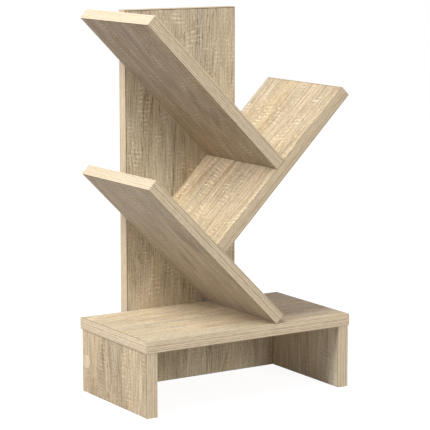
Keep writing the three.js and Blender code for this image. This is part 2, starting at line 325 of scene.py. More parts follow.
def corners_of(mesh):
    """The corners of a mesh as an array, in metres."""
    places = np.empty(len(mesh.vertices) * 3, dtype=np.float32)
    mesh.vertices.foreach_get("co", places)
    return places.reshape(-1, 3).astype(float)


def measured(node, axes=(X, Y, Z)):
    """A node's middle, and its size along three square axes."""
    basis = np.array(axes)
    along = corners_of(NODES[node].data) @ basis.T
    low, high = along.min(axis=0), along.max(axis=0)
    return Vector((low + high) / 2 @ basis), Vector(high - low)


def frame_matrix(axes, middle):
    """The matrix that takes a mesh from its own three axes to its place."""
    return Matrix.Translation(middle) @ Matrix(axes).transposed().to_4x4()


def point_attribute(mesh, name, values, kind="FLOAT_VECTOR", field="vector"):
    layer = mesh.attributes.new(name, kind, "POINT")
    layer.data.foreach_set(field, np.asarray(values, dtype=np.float32).ravel())


class Look(NamedTuple):
    """How one coat of a board shows the print.

    tone makes it paler or darker than the finish, strength is how much its lines stand out,
    saw is how much of the saw marks shows, sway is how far its lines wander off straight, and
    warmth makes it a little yellower than the finish.
    """

    tone: float = 0.0
    strength: float = 0.8
    saw: float = 0.8
    sway: float = 0.5
    warmth: float = 0.0


class Cut(NamedTuple):
    """How a board was cut from the printed sheet, and the looks of its two coats.

    roll is where the board's middle lies on the print, in metres along, across and through it.
    heart is where the growth lines turn: how far across from the middle and how deep, in metres.
    """

    roll: tuple
    heart: tuple
    upper: Look = Look()
    lower: Look = Look()


# The coat below comes from another stretch of the print, this far away in metres.
UNDER_COAT = (0.43, 0.031, 0.08)


def lay_print(mesh, axes, middle, cut):
    """Stores where each point lies on the print, its place about the heart, and its look."""
    local = (corners_of(mesh) - np.array(middle)) @ np.array(axes).T
    below = local[:, 2:] < 0
    roll = np.where(below, np.add(cut.roll, UNDER_COAT), cut.roll)
    point_attribute(mesh, "grain", local + roll)
    tone, *look = np.where(below, cut.lower, cut.upper).T
    across_heart, heart_depth = local[:, 1] - cut.heart[0], np.full(len(local), cut.heart[1])
    point_attribute(mesh, "figure", np.column_stack([across_heart, heart_depth, tone]))
    point_attribute(mesh, "look", np.column_stack(look), "FLOAT_COLOR", "color")


def coat_board(mesh, axes, middle, thickness):
    """Prints the board's two coated faces. The narrow arris beside a band shows the glue."""
    coated, sawn, glued = range(3)
    mesh.materials.clear()
    for finish in ("melamine_oak_print", "particle_board_core", "hot_melt_glue_line"):
        mesh.materials.append(bpy.data.materials[finish])
    closeness, least_lean, most_lean = 0.01 * MM, 0.3, 0.9
    through = axes[2]
    for face in mesh.polygons:
        height = abs((face.center - middle).dot(through))
        lean = abs(face.normal.dot(through))
        if abs(height - thickness / 2) < closeness:
            face.material_index = coated
        else:
            face.material_index = glued if least_lean < lean < most_lean else sawn


def finish_board(node, mesh, axes, cut):
    """Prints a board and puts it in the scene."""
    middle, size = measured(node, axes)
    lay_print(mesh, axes, middle, cut)
    coat_board(mesh, axes, middle, size[2])
    shown(f"{node}_board", mesh, node, slot="board_face")


def branch_axes(name):
    """A branch's directions: along it, across it, and up through its thickness."""
    lean = bpy.context.scene.shelf_boards.lean
    side = 1 if name == "middle_branch" else -1
    along = Vector((side * math.sin(lean), 0, math.cos(lean)))
    up = Vector((-side * math.cos(lean), 0, math.sin(lean)))
    return along, up.cross(along), up


# Finishes

def stored_place(add):
    """A stored place in millimetres: where a point lies along, across and through the grain."""
    stored = add("Attribute", attribute_name="grain", out="Vector")
    return add("VectorMath:SCALE", stored, {"Scale": 1 / MM})


def object_place(add):
    """Where a point lies in the whole object, in millimetres."""
    return add("VectorMath:SCALE", add("TexCoord", out="Object"), {"Scale": 1 / MM})


def stored_parts(add, name):
    """The values of a stored vector or colour, with the colour's alpha as the fourth."""
    stored = add("Attribute", attribute_name=name, out=None).outputs
    return (*add("SeparateXYZ", stored["Vector"], out=None).outputs, stored["Alpha"])


def stretched_noise(add, place, sizes, detail=2.0, roughness=0.5):
    """Noise whose grains have the given size in millimetres along each axis."""
    return add("TexNoise", {
        "Vector": add("VectorMath:DIVIDE", place, sizes), "Scale": 1.0, "Detail": detail,
        "Roughness": roughness})


def blended(add, level, noises=(), marks=()):
    """A level that noises swing both ways, and that marks are added to, each with its weight."""
    level -= sum(weight for _, weight in noises) / 2
    for value, weight in (*noises, *marks):
        level = add("Math:MULTIPLY_ADD", value, weight, level)
    return level


def paint(add, value, stops, sockets, relief=None, depth=0.0, warmth=None):
    """Ends a material: its colours by a value, its plain sockets, and a relief pressed into it.

    The stops are places on the value's scale with their colours, and warmth gives the colour more
    red and less blue. The relief runs from 0 to 1, and its depth is in metres.
    """
    ramp = add("ValToRGB", value, out=None)
    elements = ramp.color_ramp.elements
    while len(elements) < len(stops):
        elements.new(0.5)
    for element, (place, colour) in zip(elements, stops):
        element.position = place
        element.color = (*colour, 1)
    colour = ramp.outputs[0]
    if warmth is not None:
        red = add("Math:MULTIPLY_ADD", warmth, 0.6, 1.0)
        blue = add("Math:MULTIPLY_ADD", warmth, -1.0, 1.0)
        colour = add("VectorMath:MULTIPLY", colour, add("CombineXYZ", red, 1.0, blue))
    sockets = {"Base Color": colour, **sockets}
    if relief is not None:
        sockets["Normal"] = add("Bump", {"Strength": 1.0, "Distance": depth, "Height": relief})
    add("OutputMaterial", {"Surface": add("BsdfPrincipled", sockets)}, out=None)


def growth_lines(add, along, sideways, depth):
    """Rings about a heart that slopes a little through the board, so that they arch over it."""
    slope, ring_width = 0.05, 2.5
    sunk = add("Math:MULTIPLY_ADD", along, slope, depth)
    radius = add("VectorMath:LENGTH", add("CombineXYZ", sideways, sunk), out="Value")
    return add("TexNoise", {
        "W": add("Math:DIVIDE", radius, ring_width), "Scale": 1.0, "Detail": 1.0,
        "Roughness": 0.6}, noise_dimensions="1D")


def saw_marks(add, place, along):
    """Marks of a band saw: thin pale lines across the grain, in clusters."""
    pitch = 5.5
    curve = stretched_noise(add, place, (90, 40, 60), 1.0)
    unsteady = stretched_noise(add, place, (30, 12, 20), 1.0)
    bent = blended(add, 0.0, ((curve, 22.0), (unsteady, 3.0)), ((along, 1.0),))
    wave = add("Math:SINE", add("Math:MULTIPLY", bent, 2 * math.pi / pitch))
    teeth = add("MapRange", wave, 0.35, 1.0)
    clusters = stretched_noise(add, place, (32, 19, 60), 1.0)
    broken = stretched_noise(add, place, (4.5, 5, 10), 1.0)
    for noise, low, high in ((clusters, 0.50, 0.64), (broken, 0.38, 0.60)):
        teeth = add("Math:MULTIPLY", teeth, add("MapRange", noise, low, high))
    return teeth


def melamine_oak_print(add, colours):
    """Melamine paper on particle board, with a pale sawn oak print.

    The print has growth lines that run with the board or arch, short dark pores, broad warm and
    grey streaks, and the pale marks of a band saw across them. The paper is matt, pressed with a
    fine pore texture.
    """
    noise = partial(stretched_noise, add)
    place = stored_place(add)
    along, across, through = add("SeparateXYZ", place, out=None).outputs
    across_heart, heart_depth, tone = stored_parts(add, "figure")[:3]
    strength, saw_level, sway, warmth = stored_parts(add, "look")

    # Fibres, pores and growth lines all follow the same gentle wander.
    wander = noise(place, (190, 60, 60), 1.0)
    ripple = noise(place, (34, 14, 30), 1.0)
    drift = add("Math:MULTIPLY", blended(add, 0.0, ((wander, 30.0), (ripple, 4.0))), sway)
    flow = add("CombineXYZ", along, add("Math:ADD", across, drift), through)
    sideways = add("Math:MULTIPLY_ADD", across_heart, 1 / MM, drift)
    rings = growth_lines(add, along, sideways, add("Math:DIVIDE", heart_depth, MM))
    marked = add("MapRange", noise(place, (220, 26, 60), 1.0), 0.46, 0.60)
    lines = add("Math:MULTIPLY", add("MapRange", rings, 0.56, 0.66), marked)

    broad = noise(flow, (240, 15, 40), 2.0)
    patches = noise(place, (60, 38, 60), 2.0)
    streaks = noise(flow, (75, 2.3, 12), 1.0, 0.6)
    # Fibres and specks are drawn a little coarser than real ones so that they show.
    fibres = noise(flow, (45, 1.25, 6), 1.0)
    specks = noise(flow, (2.4, 1.3, 4), 0.0)

    # Pores: thin dark dashes, drawn coarser for the same reason.
    open_grain = add("MapRange", noise(place, (80, 36, 60), 1.0), 0.36, 0.60, 0.25, 1.0)
    dashes = add("MapRange", noise(flow, (9, 1.3, 8), 0.0), 0.56, 0.70)
    pores = add("Math:MULTIPLY", dashes, open_grain)
    sawn = add("Math:MULTIPLY", saw_marks(add, place, along), saw_level)

    # Everything adds up to one value, from dark to pale.
    figured = blended(add, 0.0, (
        (rings, 0.24), (streaks, 0.32), (fibres, 0.95), (specks, 0.46), (broad, 0.38),
        (patches, 0.2)), ((lines, -0.26), (pores, -0.2)))
    value = blended(add, 0.545, (), ((tone, 1.0), (figured, strength), (sawn, 0.30)))
    hue = noise(flow, (200, 18, 40), 1.0)
    stops = ((0.22, colours.face_dark), (0.52, colours.face_mid), (0.78, colours.face_pale),
             (0.98, colours.face_palest))
    paint(
        add, value, stops, {"Roughness": 0.72, "IOR": 1.45, "Specular IOR Level": 0.22},
        relief=add("Math:SUBTRACT", fibres, pores), depth=0.05 * MM,
        warmth=blended(add, 0.0, ((hue, 0.22),), ((warmth, 1.0),)))


def abs_edge_band(add, colours):
    """ABS edge band, extruded and printed with straight fine oak lines, satin to the eye."""
    place = stored_place(add)
    across = add("SeparateXYZ", place, out=1)
    tone = stored_parts(add, "figure")[2]
    warmth = stored_parts(add, "look")[3]
    # Five or six fine lines fit on a band, none of them quite like the next.
    line_pitch = 2.7
    uneven = stretched_noise(add, place, (900, 4, 4), 0.0)
    bent = blended(add, 0.0, ((uneven, 3.0),), ((across, 1.0),))
    fine = add("Math:SINE", add("Math:MULTIPLY", bent, 2 * math.pi / line_pitch))
    lines = stretched_noise(add, place, (900, 1.3, 1.3), 0.0)
    dashes = stretched_noise(add, place, (8, 1.2, 1.2), 0.0)
    value = blended(add, 0.5, ((lines, 0.22), (dashes, 0.40)), ((fine, 0.19), (tone, 1.0)))
    stops = ((0.22, colours.band_dark), (0.62, colours.band_pale), (0.90, colours.band_palest))
    paint(
        add, value, stops, {"Roughness": 0.62, "IOR": 1.5, "Specular IOR Level": 0.4},
        relief=dashes, depth=0.03 * MM, warmth=warmth)


def foil_cap(add, colours):
    """Self-adhesive printed foil, punched to a disc, paler and smoother than the board."""
    lines = stretched_noise(add, object_place(add), (1.3, 1.3, 30), 3.0, 0.6)
    paint(
        add, lines, ((0.35, colours.cap_dark), (0.6, colours.cap_pale)),
        {"Roughness": 0.42, "IOR": 1.5}, relief=lines, depth=0.01 * MM)


def particle_board_core(add, colours):
    """Raw particle board, sawn: pressed wood chips of 1 to 3 mm, matt and a little open."""
    place = object_place(add)
    chip_size = (1.8, 1.8, 1.8)
    shares = add("VectorMath:DIVIDE", place, chip_size)
    chips = add("TexVoronoi", {"Vector": shares, "Scale": 1.0}, out="Color")
    dust = stretched_noise(add, place, (0.6, 0.6, 0.6), 2.0)
    value = blended(add, 0.0, (), ((add("SeparateColor", chips), 0.5), (dust, 0.5)))
    paint(
        add, value, ((0.15, colours.core_dark), (0.75, colours.core_pale)), {"Roughness": 0.9},
        relief=value, depth=0.2 * MM)


def hot_melt_glue_line(add, colours):
    """Hot-melt glue that shows as a fine brown line between a band and its board."""
    smear = stretched_noise(add, object_place(add), (3, 3, 3), 2.0)
    paint(
        add, smear, ((0.3, colours.glue_dark), (0.7, colours.glue_pale)), {"Roughness": 0.6},
        relief=smear, depth=0.05 * MM)


def zinc_plated_steel(add, colours):
    """Cold-headed steel with bright zinc plate: a slightly cloudy metal shine."""
    cloud = stretched_noise(add, object_place(add), (1.6, 1.6, 1.6), 3.0)
    dull = [channel * 0.82 for channel in colours.zinc]
    cloudy = add("MapRange", cloud, 0.3, 0.7, 0.26, 0.42)
    paint(
        add, cloud, ((0.3, dull), (0.7, colours.zinc)), {"Metallic": 1.0, "Roughness": cloudy})


def turned_beech(add, colours):
    """Dry beech, milled to a fluted rod: pale pink-brown with short dark flecks."""
    place = stored_place(add)
    flecks = add("MapRange", stretched_noise(add, place, (3, 0.35, 0.35), 1.0), 0.56, 0.7)
    tone = stretched_noise(add, place, (20, 2.5, 2.5), 3.0)
    value = blended(add, 0.0, (), ((tone, 1.0), (flecks, -0.25)))
    paint(
        add, value, ((0.25, colours.beech_dark), (0.6, colours.beech_pale)), {"Roughness": 0.7},
        relief=value, depth=0.05 * MM)


class BOOKSHELF_OT_finishes(bpy.types.Operator):
    """Mixes the finishes that the pieces are given"""

    bl_idname = "bookshelf.finishes"
    bl_label = "Finishes"

    def execute(self, context):
        for finish in (
                melamine_oak_print, abs_edge_band, foil_cap, particle_board_core,
                hot_melt_glue_line, zinc_plated_steel, turned_beech):
            material = bpy.data.materials.new(finish.__name__)
            finish(emptied(material), context.scene.shelf_finishes)
        return {"FINISHED"}


# Boards

# Each upright or level board: directions along, across and through its grain, and its cut.
PLAIN_BOARDS = {
    "base_top": ((X, Y, Z), Cut(
        (0.995, 0.251, 1.87), (0.070, 0.026), Look(0.12, 0.85, 0.3, 0.5, 0.01))),
    "left_leg": ((Z, Y, -X), Cut(
        (0.611, 0.302, 2.08), (0.035, 0.006), Look(-0.08, 0.88, 0.7, 1.6, 0.03))),
    "right_leg": ((Z, Y, -X), Cut(
        (2.031, 0.194, 1.20), (0.110, 0.030), Look(0.25, 0.85, 0.6, 0.4, 0.0))),
    "rail": ((Z, X, Y), Cut(
        (2.611, 0.135, 1.24), (0.080, 0.012), lower=Look(0.04, 0.75, 0.5, 0.5))),
    "trunk": ((Z, X, Y), Cut(
        (3.037, 0.028, 0.54), (0.120, 0.030), lower=Look(-0.01, 0.72, 1.0, 0.6, -0.04))),
}
BRANCH_CUTS = {
    "low_branch": Cut(
        (4.011, 0.145, 1.32), (0.030, 0.022), lower=Look(-0.14, 0.44, 0.6, 0.4, -0.05)),
    "middle_branch": Cut(
        (4.711, 0.092, 1.37), (-0.110, 0.020), Look(0.04, 0.9, 1.4, 0.15, 0.02)),
    "top_branch": Cut(
        (5.511, 0.141, 1.42), (0.060, 0.030), lower=Look(-0.215, 0.44, 0.7, 0.3, -0.015)),
}
# Each band lies one step further on its own print than the last, in metres.
BAND_STEP = (0.37, 0.05, 0.0)
BAND_LOOK = Look(warmth=-0.02)
# The tips' bands come from a paler roll, and three of the front ones from darker ones.
BAND_LOOKS = {
    **{f"{name}_tip_band": Look(0.14, warmth=-0.04) for name in BRANCHES},
    "low_branch_front_band": Look(-0.04, warmth=-0.02),
    "middle_branch_front_band": Look(-0.10),
    "top_branch_front_band": Look(-0.11, warmth=-0.02),
}


def eased_blank(name, size, arris, matrix):
    """A board blank with its twelve edges chamfered, at its place."""
    shape = bmesh.new()
    bmesh.ops.create_cube(shape, size=1, matrix=Matrix.Diagonal((*size, 1)))
    bmesh.ops.bevel(
        shape, geom=shape.edges[:], offset=arris, offset_type="OFFSET",
        segments=1, profile=0.5, affect="EDGES", clamp_overlap=True)
    shape.transform(matrix)
    bmesh.ops.recalc_face_normals(shape, faces=shape.faces)
    return held(name, shape)


def merged_solid(node):
    """A copy of a CAD solid with its loose triangles joined, to cut with."""
    shape = bmesh.new()
    shape.from_mesh(NODES[node].data)
    bmesh.ops.remove_doubles(shape, verts=shape.verts, dist=0.001 * MM)
    return held(f"{node}_solid", shape)


def held(name, shape):
    """An object that holds a drawn shape."""
    mesh = bpy.data.meshes.new(name)
    shape.to_mesh(mesh)
    shape.free()
    return placed(name, mesh)


def drilled_board(node, axes, arris):
    """The chamfered blank, with every bore that the CAD solid has."""
    middle, size = measured(node, axes)
    # The solid's own edges are sharp, so the blank is what eases them.
    blank = eased_blank(node, size, arris, frame_matrix(axes, middle))
    solid = merged_solid(node)
    keep = blank.modifiers.new("bores", "BOOLEAN")
    keep.operation = "INTERSECT"
    keep.solver = "EXACT"
    keep.object = solid
    mesh = baked(blank, keep, f"{node}_board")
    bpy.data.objects.remove(solid)
    return mesh


class BOOKSHELF_OT_boards(bpy.types.Operator):
    """Makes the base top, the legs, the rail and the trunk from the CAD solids"""

    bl_idname = "bookshelf.boards"
    bl_label = "Boards"

    def execute(self, context):
        arris = context.scene.shelf_boards.arris
        for node, (axes, cut) in PLAIN_BOARDS.items():
            finish_board(node, drilled_board(node, axes, arris), axes, cut)
        return {"FINISHED"}


def climbing_branch(
        add, step, width, foot_trim, foot_x, foot_z, rise, middle_y, column_screw, dowel_place,
        branch_length, thickness, band_allowance, arris, lean, screw_foot_inset, pilot_radius,
        pilot_depth, dowel_bore, foot_bore_depth, face_bore_depth):
    """A branch of the stack. Its step sets its side, its lean, its height and its bores."""
    # The blank runs from its foot at x = 0 towards +X, its lower face at z = 0.
    half_width = add("Math:DIVIDE", width, 2.0)
    middle_z = add("Math:DIVIDE", thickness, 2.0)
    core_end = add("Math:SUBTRACT", branch_length, band_allowance)
    core_length = add("Math:SUBTRACT", core_end, foot_trim)
    middle_x = add("Math:MULTIPLY_ADD", core_length, 0.5, foot_trim)

    # Three boxes, each drawn in on two sides: their hull is the board with chamfered edges.
    full = (core_length, width, thickness)
    drawn_in = [add("Math:MULTIPLY_ADD", arris, -2.0, side) for side in full]
    boxes = []
    for kept in range(3):
        sides = [full[axis] if axis == kept else drawn_in[axis] for axis in range(3)]
        boxes.append(add("MeshCube", add("CombineXYZ", *sides)))
    hull = add("ConvexHull", add("JoinGeometry", boxes))
    blank = add("Transform", hull, add("CombineXYZ", middle_x, 0.0, middle_z))

    def drill(radius, depth, place, turn):
        """A cylinder that leaves a blind bore, with its mouth at the given place."""
        doubled = add("Math:MULTIPLY", depth, 2.0)
        rod = add("MeshCylinder", {"Vertices": BORE_SIDES, "Radius": radius, "Depth": doubled})
        return add("Transform", rod, add("CombineXYZ", *place), {"Rotation": turn})

    cutters = [
        drill(pilot_radius, pilot_depth, (run, half_width, middle_z), (math.pi / 2, 0, 0))
        for run in (screw_foot_inset, column_screw)]

    # A branch below another has a dowel bore in its face; one above another, in its foot. The
    # width runs towards the front on a turned board, so its place there is given by the caller.
    carries = add("Math:LESS_THAN", step, 1.5)
    stands = add("Math:GREATER_THAN", step, 0.5)
    face_place = (add("Math:DIVIDE", branch_length, 2.0), dowel_place, thickness)
    face_rod = drill(dowel_bore, face_bore_depth, face_place, (0, 0, 0))
    foot_place = (0.0, dowel_place, middle_z)
    foot_rod = drill(dowel_bore, foot_bore_depth, foot_place, (0, math.pi / 2, 0))
    for wanted, rod in ((carries, face_rod), (stands, foot_rod)):
        cutters.append(add("Switch", {"Switch": wanted, "True": rod}, input_type="GEOMETRY"))
    bored = add("MeshBoolean:DIFFERENCE", blank, add("JoinGeometry", cutters), solver="EXACT")

    # Every second branch runs to the right. A branch that runs left is turned half round first.
    odd = add("Math:MODULO", step, 2.0)
    leftward = add("Math:MULTIPLY_ADD", odd, -2.0, 1.0)
    about_z = add("Math:MULTIPLY_ADD", odd, -math.pi, math.pi)
    about_y = add("Math:MULTIPLY", lean, leftward)
    faced = add("Transform", bored, {"Rotation": add("CombineXYZ", {"Z": about_z})})
    sideways = add("Math:MULTIPLY", foot_x, leftward)
    height = add("Math:MULTIPLY_ADD", step, rise, foot_z)
    return add(
        "Transform", faced, add("CombineXYZ", sideways, middle_y, height),
        {"Rotation": add("CombineXYZ", {"Y": about_y})})


class BOOKSHELF_OT_branches(bpy.types.Operator):
    """Grows the three branches by their rule: each stands square on the middle of the last"""

    bl_idname = "bookshelf.branches"
    bl_label = "Branches"

    def execute(self, context):
        boards = context.scene.shelf_boards
        low_axes = branch_axes("low_branch")
        first_middle, first_size = measured("low_branch", low_axes)
        # The foot's lower corner, from the CAD solid, which starts after its band.
        foot = first_middle - low_axes[0] * (first_size[0] / 2 + boards.band_allowance)
        foot -= low_axes[2] * (boards.thickness / 2)
        pitch = boards.branch_length / 2 + boards.butt_gap + boards.thickness / 2
        for step, node in enumerate(BRANCHES):
            axes = branch_axes(node)
            middle, size = measured(node, axes)
            side = 1 if step % 2 else -1
            start_x = -side * foot[0] + axes[2][0] * boards.thickness / 2
            dowel_place = size[1] / 2 + boards.band_allowance - boards.dowel_inset
            mesh = grown(
                f"{node}_board", climbing_branch, "melamine_oak_print", boards, step=step,
                width=size[1], foot_trim=0.0 if step else boards.band_allowance,
                foot_x=foot[0], foot_z=foot[2], rise=pitch * math.sin(boards.lean),
                middle_y=middle[1], dowel_place=-side * dowel_place,
                column_screw=(side * boards.screw_column - start_x) / axes[0][0])
            places = corners_of(mesh)
            off = np.abs(np.subtract((places.min(axis=0), places.max(axis=0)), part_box(node))).max()
            if off > boards.arris:
                raise RuntimeError(f"{node} lies {off / MM:.2f} mm from its CAD solid")
            finish_board(node, mesh, axes, BRANCH_CUTS[node])
        return {"FINISHED"}


# Edge bands

def band_places():
    """Each edge band's node, the direction that it runs in and the one that it faces."""
    places = {}
    for side, out in (("front", -Y), ("back", Y)):
        places[f"base_top_{side}_band"] = (X, out)
        places[f"left_leg_{side}_band"] = (Z, out)
        places[f"right_leg_{side}_band"] = (Z, out)
    for side, out in (("left", -X), ("right", X)):
        places[f"base_top_{side}_band"] = (Y, out)
        places[f"trunk_{side}_band"] = (Z, out)
    places["trunk_top_band"] = (X, Z)
    for name in BRANCHES:
        along = branch_axes(name)[0]
        places[f"{name}_front_band"] = (along, -Y)
        places[f"{name}_back_band"] = (along, Y)
        places[f"{name}_tip_band"] = (Y, along)
    places["low_branch_foot_band"] = (Y, -branch_axes("low_branch")[0])
    return places


def edge_band(add, length, width, thickness, band_arris):
    """A band swept along a straight path, with its two outer edges rounded."""
    ends = [add("CombineXYZ", add("Math:MULTIPLY", length, share)) for share in (-0.5, 0.5)]
    path = add("SetCurveNormal", add("CurvePrimitiveLine", *ends), mode="Z_UP")
    section = add("CurvePrimitiveQuadrilateral", {"Width": thickness, "Height": width})
    # Only the two corners on the outer side are rounded.
    outer = add("Math:GREATER_THAN", add("SeparateXYZ", add("InputPosition")), 0.0)
    rounded = add("FilletCurve", section, {
        "Count": BAND_ROUNDING_STEPS, "Limit Radius": True,
        "Radius": add("Math:MULTIPLY", outer, band_arris)}, mode="POLY")
    return add("CurveToMesh", path, rounded, {"Fill Caps": True})


class BOOKSHELF_OT_edge_bands(bpy.types.Operator):
    """Sweeps the edge bands along the boards' edges"""

    bl_idname = "bookshelf.edge_bands"
    bl_label = "Edge Bands"

    def execute(self, context):
        for order, (node, (along, out)) in enumerate(band_places().items()):
            # The swept band runs along X, its outer face looks along -Y or +Y, its width is Z.
            middle, size = measured(node, (along, out, along.cross(out)))
            mesh = grown(
                node, edge_band, "abs_edge_band", context.scene.shelf_fasteners,
                length=size[0], width=size[2], thickness=size[1])
            outward = out if corners_of(mesh)[:, 1].mean() > 0 else -out
            mesh.transform(frame_matrix((along, outward, along.cross(outward)), middle))
            look = BAND_LOOKS.get(node, BAND_LOOK)
            cut = Cut(np.multiply(BAND_STEP, order), (0.0, 0.0), look, look)
            lay_print(mesh, (along, along.cross(out), out), middle, cut)
            shown(f"{node}_strip", mesh, node, slot="edge_band")
        return {"FINISHED"}


# Fasteners

def nodes_with(word):
    return sorted(name for name in NODES if word in name)


def head_side(name):
    """The direction that a screw's head and its cap face."""
    return {"left": -X, "right": X}.get(name.split("_leg")[0], Y)


def fasten(kind, build, finish, slot, names, places, **sizes):
    """Makes one piece of all fasteners of a kind, each at a place with its direction."""
    spots, directions = zip(*places)
    points = bpy.data.meshes.new(f"{kind}_points")
    points.from_pydata(spots, [], [])
    point_attribute(points, "facing", directions)
    settings = bpy.context.scene.shelf_fasteners
    shown(kind, grown(kind, build, finish, settings, points, **sizes), *names, slot=slot)


def cover_cap(add, radius, thickness, cap_arris, cap_dimple, head_radius):
    """A thin disc with a soft rim that sags a little over the head of its screw."""
    disc = add("MeshCylinder", {
        "Vertices": CAP_SIDES, "Side Segments": 1, "Fill Segments": CAP_RINGS,
        "Radius": radius, "Depth": thickness})
    place = add("InputPosition")
    flat = add("VectorMath:MULTIPLY", place, (1, 1, 0))
    reach = add("VectorMath:LENGTH", flat, out="Value")
    rim_start = add("Math:MULTIPLY_ADD", cap_arris, -3.0, radius)
    fall = partial(add, "MapRange", reach, interpolation_type="SMOOTHSTEP")
    rim = fall(rim_start, radius, 0.0, cap_arris)
    sag = fall(0.0, head_radius, cap_dimple, 0.0)
    drop = add("Math:MULTIPLY", add("Math:ADD", rim, sag), -1.0)
    top = add("Math:GREATER_THAN", add("SeparateXYZ", place, out=2), 0.0)
    formed = add("SetPosition", disc, top, {"Offset": add("CombineXYZ", {"Z": drop})})
    return add("SetShadeSmooth", formed)


class BOOKSHELF_OT_cover_caps(bpy.types.Operator):
    """Sticks a cover cap over each screw head"""

    bl_idname = "bookshelf.cover_caps"
    bl_label = "Cover Caps"

    def execute(self, context):
        names = nodes_with("_cap")
        places = [(measured(name)[0], head_side(name)) for name in names]
        size = measured(names[0])[1]
        fasten(
            "cover_caps", cover_cap, "foil_cap", "cover_cap", names, places,
            radius=max(size) / 2, thickness=min(size))
        return {"FINISHED"}


def countersunk_screw(
        add, length, head_radius, head_height, neck_radius, neck_length, core_radius,
        thread_radius, thread_pitch, tip_length, socket_radius, socket_depth):
    """A screw with its tip, core, helical thread, plain neck, head and socket."""
    # The axis runs up Z from the tip, with a radius for each point of it.
    top = add("CombineXYZ", {"Z": length})
    axis = add("CurvePrimitiveLine", (0, 0, 0), top)
    finer = add("ResampleCurve", axis, {"Count": SCREW_RINGS}, mode="COUNT")
    run = add("SplineParameter", out="Length")
    head_start = add("Math:SUBTRACT", length, head_height)
    neck_start = add("Math:SUBTRACT", head_start, neck_length)
    point_radius = 0.05 * MM
    tip = add("MapRange", run, 0.0, tip_length, point_radius, core_radius)
    neck = add("Math:MULTIPLY", add("Math:GREATER_THAN", run, neck_start), neck_radius)
    head = add("MapRange", run, head_start, length, 0.0, head_radius)
    radius = add("Math:MAXIMUM", add("Math:MAXIMUM", tip, neck), head)
    ring = add("CurvePrimitiveCircle", {"Resolution": SCREW_SIDES, "Radius": 1.0})
    body = add("CurveToMesh", finer, ring, {"Scale": radius, "Fill Caps": True})
    doubled = add("Math:MULTIPLY", socket_depth, 2.0)
    hexagon = add("MeshCylinder", {"Vertices": 6, "Radius": socket_radius, "Depth": doubled})
    socket = add("Transform", hexagon, top)
    driven = add("MeshBoolean:DIFFERENCE", body, socket, solver="EXACT")

    # The thread starts on the tip, where it stays slim, and dies out at both ends.
    thread_start = add("Math:MULTIPLY", tip_length, 0.6)
    thread_run = add("Math:SUBTRACT", neck_start, thread_start)
    helix = add("CurveSpiral", {
        "Resolution": THREAD_STEPS, "Rotations": add("Math:DIVIDE", thread_run, thread_pitch),
        "Start Radius": core_radius, "End Radius": core_radius, "Height": thread_run})
    lifted = add("Transform", helix, add("CombineXYZ", {"Z": thread_start}))
    upright = add("SetCurveNormal", lifted, mode="Z_UP")
    share = add("SplineParameter", out="Factor")
    grow = add("MapRange", share, 0.0, 0.06)
    fade = add("MapRange", share, 0.97, 1.0, 1.0, 0.0)
    slim = add("Math:MAXIMUM", add("Math:MULTIPLY", grow, fade), 0.02)
    crest = add("Math:SUBTRACT", thread_radius, core_radius)
    diamond = add("CurvePrimitiveCircle", {"Resolution": 4, "Radius": crest})
    thread = add("CurveToMesh", upright, diamond, {"Scale": slim, "Fill Caps": True})
    return add("JoinGeometry", [driven, thread])


class BOOKSHELF_OT_screws(bpy.types.Operator):
    """Puts a threaded screw in each of its bores"""

    bl_idname = "bookshelf.screws"
    bl_label = "Screws"

    def execute(self, context):
        for kind, in_rail in (("long_screws", False), ("short_screws", True)):
            names = [name for name in nodes_with("_screw") if name.startswith("rail") == in_rail]
            places = []
            for name in names:
                head = head_side(name)
                middle, size = measured(name)
                length = max(size)
                places.append((middle - head * (length / 2), head))
            fasten(
                kind, countersunk_screw, "zinc_plated_steel", "screw_steel", names, places,
                length=length)
        return {"FINISHED"}


def fluted_dowel(add, length, dowel_radius, dowel_chamfer, dowel_flute, dowel_flutes):
    """A fluted rod with chamfered ends."""
    heights = [add("Math:MULTIPLY", length, share) for share in (-0.5, 0.5)]
    axis = add("CurvePrimitiveLine", *[add("CombineXYZ", {"Z": height}) for height in heights])
    finer = add("ResampleCurve", axis, {"Count": DOWEL_RINGS}, mode="COUNT")
    run = add("SplineParameter", out="Length")
    nearest = add("Math:MINIMUM", run, add("Math:SUBTRACT", length, run))
    slim = add("Math:SUBTRACT", 1.0, add("Math:DIVIDE", dowel_chamfer, dowel_radius))
    share = add("MapRange", nearest, 0.0, dowel_chamfer, slim, 1.0)
    star = add("CurveStar", {
        "Points": dowel_flutes, "Outer Radius": dowel_radius,
        "Inner Radius": add("Math:SUBTRACT", dowel_radius, dowel_flute)})
    rod = add("CurveToMesh", finer, star, {"Scale": share, "Fill Caps": True})
    # The grain runs along the rod.
    x, y, z = add("SeparateXYZ", add("InputPosition"), out=None).outputs
    return add(
        "StoreNamedAttribute", rod, {"Name": "grain", "Value": add("CombineXYZ", z, x, y)},
        data_type="FLOAT_VECTOR", domain="POINT")


class BOOKSHELF_OT_dowels(bpy.types.Operator):
    """Puts a fluted beech dowel in each pair of dowel bores"""

    bl_idname = "bookshelf.dowels"
    bl_label = "Dowels"

    def execute(self, context):
        names = nodes_with("_dowel")
        places = []
        for name in names:
            carrier = name.replace("_dowel", "")
            axes = branch_axes(carrier) if carrier in BRANCHES else (Z, X, Y)
            middle, size = measured(name, axes)
            places.append((middle, axes[0]))
        fasten(
            "fluted_dowels", fluted_dowel, "turned_beech", "dowel_beech", names, places,
            length=size[0])
        return {"FINISHED"}


# Studio

def seen_share(add):
    """1 for what the camera, a reflection or clear glass sees, and 0 for light that bounces."""
    path = add("LightPath", out=None).outputs
    seen = path["Is Camera Ray"]
    for ray in ("Is Glossy Ray", "Is Transmission Ray"):
        seen = add("Math:MAXIMUM", seen, path[ray])
    return seen


